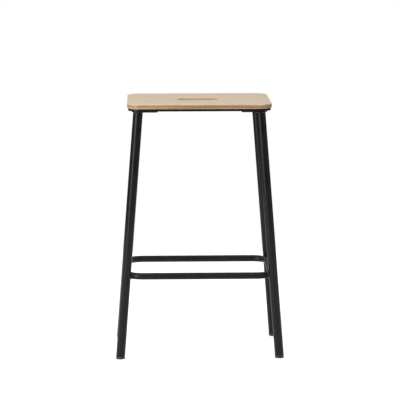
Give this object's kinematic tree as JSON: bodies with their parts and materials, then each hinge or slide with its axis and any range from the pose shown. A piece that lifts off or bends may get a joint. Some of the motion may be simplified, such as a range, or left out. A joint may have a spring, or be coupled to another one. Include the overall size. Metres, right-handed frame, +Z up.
{
  "type": "bar stool",
  "caption": "Counter-height bar stool with a slotted oak seat on a black steel base, splayed tube legs and a bent-bar footrest.",
  "frame": {"origin": "on the floor, midway between the four feet", "axes": "+Z up, +X to the right across the seat width as a person faces the front, +Y from the front to the back"},
  "size_m": [0.429, 0.279, 0.65],
  "materials": {
    "oak": "oiled oak with fine straight grain across the width",
    "black_coat": "satin black powder coat with a fine texture",
    "black_plastic": "matt black moulded plastic",
    "black_steel": "black oxide",
    "zinc_steel": "zinc-plated"
  },
  "bodies": {
    "root": {"seat_panel": "oak", "seat_base_plate": "black_coat", "front_left_head_plate": "black_coat", "front_left_leg": "black_coat", "front_left_head_weld": "black_coat", "front_left_ring_weld": "black_coat", "front_right_head_plate": "black_coat", "front_right_leg": "black_coat", "front_right_head_weld": "black_coat", "front_right_ring_weld": "black_coat", "rear_left_head_plate": "black_coat", "rear_left_leg": "black_coat", "rear_left_head_weld": "black_coat", "rear_left_ring_weld": "black_coat", "rear_right_head_plate": "black_coat", "rear_right_leg": "black_coat", "rear_right_head_weld": "black_coat", "rear_right_ring_weld": "black_coat", "footrest_ring": "black_coat", "front_left_foot": "black_plastic", "front_right_foot": "black_plastic", "rear_left_foot": "black_plastic", "rear_right_foot": "black_plastic", "seat_screws": "black_steel", "threaded_inserts": "zinc_steel"}
  },
  "joints": []
}
